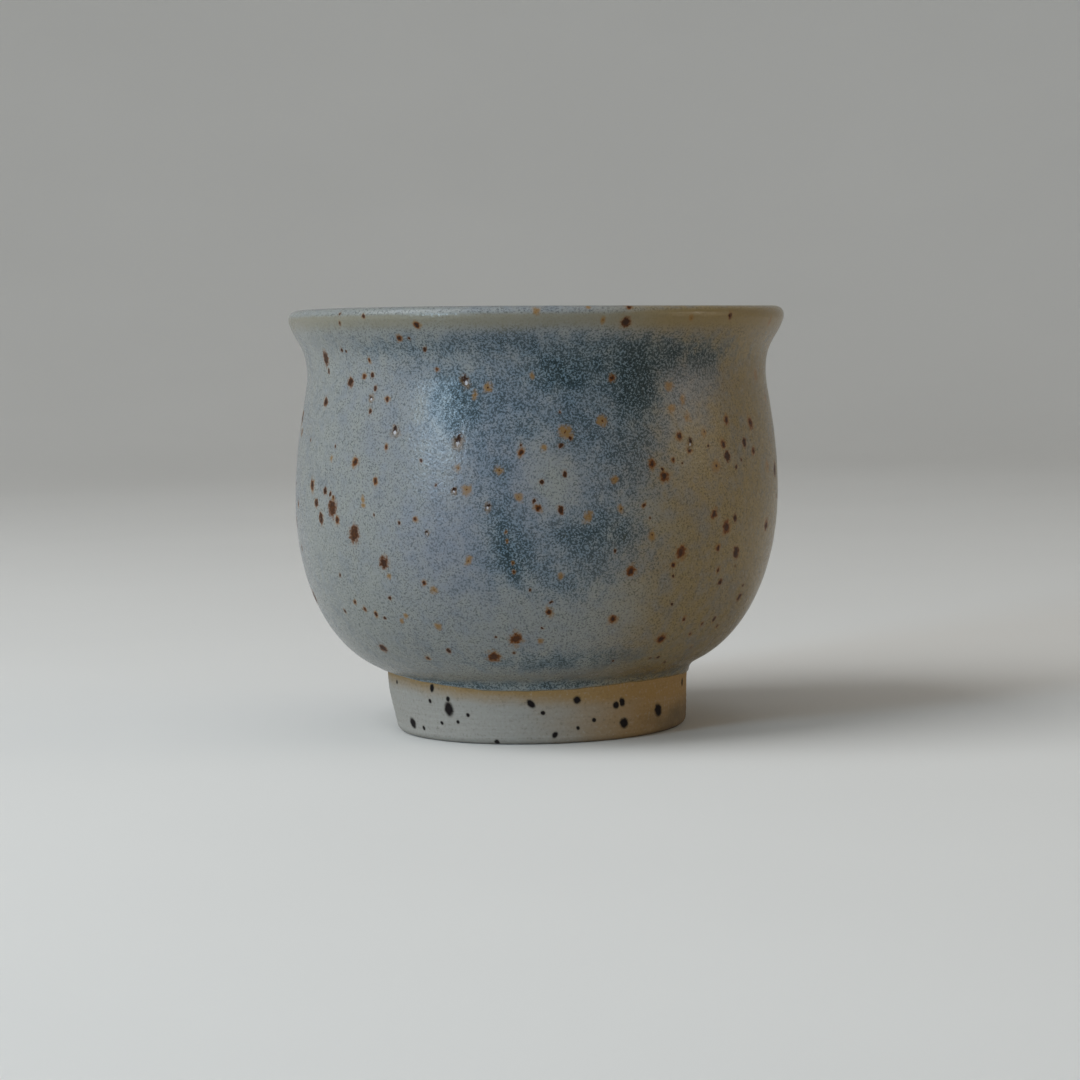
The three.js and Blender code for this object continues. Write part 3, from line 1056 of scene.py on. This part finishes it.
# %% [markdown]
# Bare stoneware is sandy: pale and dark grains, fine lines from the turning tool, and an orange bloom
# where the kiln's heat drew iron to the surface beside the glaze. Over the right of the foot the same
# orange and a dark brown are painted as warm shade, and the foot is darker at its resting edge. The
# foot and the underside share it.

# %% Group: bare clay
PALE_SAND = tone(180, 176, 168)
ALONG_RINGS = (0.16, 0.16, 3.2)  # draws the noise out round the foot, into lines
clay, given, result = new_group(
    "bare_clay_grain_and_painted_shade",
    {"Position": "Vector", "Tone": "Vector", "Clay": "Color", "Toast_and_warm_shade": "Color", "Dark_grain_and_shade": "Color"},
    {"Color": "Color", "Roughness": "Float", "Height": "Float"},
)
place = given["Position"]
toast_and_warm_shade, dark_edge_and_painted_shade, _ = clay.split(given["Tone"])
stretched = clay.node("ShaderNodeMapping", {"Vector": place, "Scale": ALONG_RINGS}).outputs[0]
sand = clay.noise(place, 1900, 3) - 0.5
cloud = clay.noise(place, 240, 3) - 0.5
tooling = clay.noise(stretched, 900, 2) - 0.5
# The toasted orange is real beside the glaze and painted warm shade on the right of the foot.
color = clay.mix(clay.step(toast_and_warm_shade + cloud * 0.4, 0.0, 1.1), given["Clay"], given["Toast_and_warm_shade"])
sand_and_tool_tint = sand * 0.85 + tooling * 0.35
color = clay.mix(clay.step(sand_and_tool_tint, 0.0, 0.5), color, given["Dark_grain_and_shade"])
color = clay.mix(clay.step(sand_and_tool_tint, -0.02, -0.5), color, PALE_SAND)
# Darker at the resting edge, and painted shade on the lower right of the foot.
color = clay.mix(clay.step(dark_edge_and_painted_shade + cloud * 0.6, 0.2, 1.2), color, given["Dark_grain_and_shade"])
roughness = sand * 0.2 + 0.78
height = sand * 0.5 + tooling * 0.5
clay.fill(result, {"Color": color, "Roughness": roughness, "Height": height})
print("bare_clay_grain_and_painted_shade has", len(clay.tree.nodes), "nodes")

# %% [markdown]
# Each material places the groups, paints the stain and the core of the spots over the ground, and
# hands colour, roughness and height to one Principled shader. The glazes are satin rather than glossy:
# the fine height breaks the highlight into a soft, sparkling patch.

# %% Parts that every material needs
# Colour of the painted highlight on the glass in a blister.
PAINTED_GLINT_COLOUR = tone(176, 174, 178)
SPECULAR = 0.26
PIT_DEPTH = 4.0


def new_material(mesh, name):
    """Gives a mesh a new material: its wiring, its shader and the places of its points."""
    material = bpy.data.materials.new(name)
    material.use_nodes = True
    mesh.materials.append(material)
    wiring = Wiring(material.node_tree)
    position = wiring.node("ShaderNodeTexCoord").outputs["Object"]
    return wiring, wiring.tree.nodes["Principled BSDF"], position


def use_group(wiring, group, inputs):
    """The outputs of a group that is placed in a material."""
    return wiring.node("ShaderNodeGroup", inputs, node_tree=group.tree).outputs.items()


def dress(piece, name, base, tones, iron, colours):
    """Gives a piece a material: a ground in the given colours, with two layers of iron spots."""
    wiring, shader, position = new_material(piece.data, name)
    inputs = {"Position": position}
    for label, attribute in tones.items():
        inputs[label] = wiring.attribute(attribute)
    for label, color in colours.items():
        inputs[label] = tone(*color)
    (_, color), (_, roughness), (_, height) = use_group(wiring, base, inputs)
    inputs = {"Position": position, "Raggedness": iron.raggedness}
    for layer in ("large_spot", "small_spot"):
        inputs["Place"] = wiring.attribute(layer + "_place")
        inputs["Make"] = wiring.attribute(layer + "_make")
        mask = {label: Value(wiring, socket) for label, socket in use_group(wiring, spots, inputs)}
        color = wiring.mix(mask["Stain"] * 0.8, color, iron.stain)
        color = wiring.mix(mask["Core"], color, wiring.mix(mask["Heart"], iron.rusty, iron.dark))
        # Painted highlight: a pale glint over the glass in a blister.
        color = wiring.mix(mask["Glint"], color, PAINTED_GLINT_COLOUR)
        roughness = mask["Core"] * 0.25 - mask["Glint"] * 0.2 + roughness
        height = mask["Pit"] * PIT_DEPTH + height
    relief = {"Height": height, "Strength": 1.0, "Distance": iron.relief}
    normal = wiring.node("ShaderNodeBump", relief).outputs["Normal"]
    wiring.fill(shader.inputs, {"Base Color": color, "Roughness": roughness, "Normal": normal})
    shader.inputs["Specular IOR Level"].default_value = SPECULAR
    print(name, "has", len(wiring.tree.nodes), "nodes")


# %% Glazed materials
IN_GLAZE = SimpleNamespace(
    stain=tone(135, 98, 42),
    dark=tone(46, 20, 0),
    rusty=tone(101, 53, 0),
    raggedness=1.4,
    relief=0.00003,  # metres of bump for a height of 1
)
GLAZE_TONES = {"Tone": "glaze_tone", "Edge": "glaze_edge"}
OUTER_COLOURS = {
    "Pale": (140, 141, 136), "Veil": (123, 128, 141), "Olive_and_warm_shade": (136, 118, 80), "Pool": (62, 111, 133),
    "Grain": (19, 36, 38), "Fleck": (142, 148, 158), "Break": (129, 123, 106),
}
LINER_COLOURS = {
    "Pale": (140, 142, 142), "Veil": (126, 129, 146), "Olive_and_warm_shade": (132, 126, 114), "Pool": (98, 112, 128),
    "Grain": (58, 66, 76), "Fleck": (150, 154, 162), "Break": (136, 130, 118),
}
dress(outer_glaze, "speckled_blue_grey_glaze", ground, GLAZE_TONES, IN_GLAZE, OUTER_COLOURS)
dress(liner_glaze, "lavender_grey_liner_glaze", ground, GLAZE_TONES, IN_GLAZE, LINER_COLOURS)

# %% Bare clay materials
IN_CLAY = SimpleNamespace(
    stain=tone(108, 92, 74),
    dark=tone(26, 20, 20),
    rusty=tone(34, 26, 24),
    raggedness=0.6,
    relief=0.00009,
)
CLAY_TONES = {"Tone": "clay_tone"}
FOOT_COLOURS = {"Clay": (158, 154, 147), "Toast_and_warm_shade": (156, 125, 79), "Dark_grain_and_shade": (98, 88, 74)}
BOWL_COLOURS = {"Clay": (138, 134, 124), "Toast_and_warm_shade": (146, 124, 92), "Dark_grain_and_shade": (84, 76, 64)}
dress(foot_ring, "toasted_foot_clay_with_painted_shade", clay, CLAY_TONES, IN_CLAY, FOOT_COLOURS)
dress(bowl, "bowl_clay_body", clay, CLAY_TONES, IN_CLAY, BOWL_COLOURS)

# %% [markdown]
# The cup stands in a round cove of pale paper: a floor that curves up into a wall on every side, so
# that there is no horizon behind the cup from any angle. A plane would do for one camera only. The
# paper looks paler to the camera than it does to the light that bounces off it, so that the floor
# stays pale and yet sends only a little light up under the bowl.

# %% Cove
COVE_FLOOR = 0.75  # metres
COVE_BEND = 0.75
COVE_TOP = 2.2
COVE_MIDDLE = 0.02  # radius of the flat face at the centre
COVE_STEPS = 96
bend = np.array([COVE_FLOOR, COVE_BEND]) + along(np.linspace(-90, 0, 24), COVE_BEND)
cove_outline = [(COVE_MIDDLE, 0.0), *bend.tolist(), (COVE_FLOOR + COVE_BEND, COVE_TOP)]
cove_turn = np.linspace(0, 2 * math.pi, COVE_STEPS, endpoint=False)
cove_points = [(r * math.sin(a), r * math.cos(a), z) for r, z in cove_outline for a in cove_turn]
cove_faces = [list(range(COVE_STEPS - 1, -1, -1))]
for low in range(0, len(cove_points) - COVE_STEPS, COVE_STEPS):
    high = low + COVE_STEPS
    for column in range(COVE_STEPS):
        after = (column + 1) % COVE_STEPS
        cove_faces.append([low + after, low + column, high + column, high + after])
cove_mesh = bpy.data.meshes.new("paper_cove")
cove_mesh.from_pydata(cove_points, [], cove_faces)
cove_mesh.shade_smooth()
cove = add_object("paper_cove", cove_mesh)
print("the cove is", 2 * (COVE_FLOOR + COVE_BEND), "m across")

# %% Paper
paper, shader, position = new_material(cove_mesh, "pale_paper")
mottle = paper.noise(position, 9, 2)
bounced = paper.mix(mottle, tone(202, 198, 190), tone(207, 203, 196))
shown = paper.mix(mottle, tone(223, 221, 218), tone(228, 226, 223))
rays = paper.node("ShaderNodeLightPath").outputs
direct = paper.math("MAXIMUM", rays["Is Camera Ray"], rays["Is Glossy Ray"])
direct = paper.math("MAXIMUM", direct, rays["Is Transmission Ray"])
paper.fill(shader.inputs, {"Base Color": paper.mix(direct, bounced, shown)})
shader.inputs["Roughness"].default_value = 0.9
shader.inputs["Specular IOR Level"].default_value = 0.1
print("pale_paper has", len(paper.tree.nodes), "nodes")

# %% [markdown]
# The light is soft daylight from the left. One wide window gives the cup its shape, and the gap
# between its curtains, lower and nearer the front, leaves one sparkling patch on the satin glaze. A
# weak warm light on the right stands for what the room sends back, with a small one above it for the
# faint glint on that side, and an even grey world fills the rest. Levels are plain: a colour shows
# about as written.

# %% Lights
CUP_MIDDLE = np.array([0, 0, CLAY_HEIGHT * MM / 2])


def soft_light(name, azimuth, elevation, distance, size, level, color):
    """A square light that faces the middle of the cup; a level of 1 lights a facing card fully."""
    lamp = bpy.data.lights.new(name, "AREA")
    lamp.size = size
    lamp.color = color
    lamp.energy = math.pi**2 * distance**2 * level
    light = add_object(name, lamp)
    light.visible_camera = False
    a = math.radians(azimuth)
    e = math.radians(elevation)
    way = np.array([math.sin(a) * math.cos(e), -math.cos(a) * math.cos(e), math.sin(e)])
    aside = np.array([math.cos(a), math.sin(a), 0])
    stand(light, aside, np.cross(way, aside), way, CUP_MIDDLE + way * distance)


soft_light("window", -70, 46, 1.0, 0.7, 0.70, (0.93, 0.97, 0.99))
soft_light("window_gap", -48, 15, 1.2, 0.22, 0.30, (0.54, 0.78, 1.0))
soft_light("room", 80, 5, 1.0, 0.6, 0.17, (1.0, 0.84, 0.62))
soft_light("far_door", 76, 17, 1.0, 0.12, 0.03, (1.0, 0.95, 0.88))
soft_light("overhead", 0, 85, 1.3, 1.0, 0.10, (1.0, 0.99, 0.97))

world = bpy.data.worlds.new("studio")
world.use_nodes = True
bpy.context.scene.world = world
sky = world.node_tree.nodes["Background"]
sky.inputs["Color"].default_value = (0.97, 0.98, 1.0, 1)
sky.inputs["Strength"].default_value = 0.22
bpy.context.scene.view_settings.view_transform = "Standard"
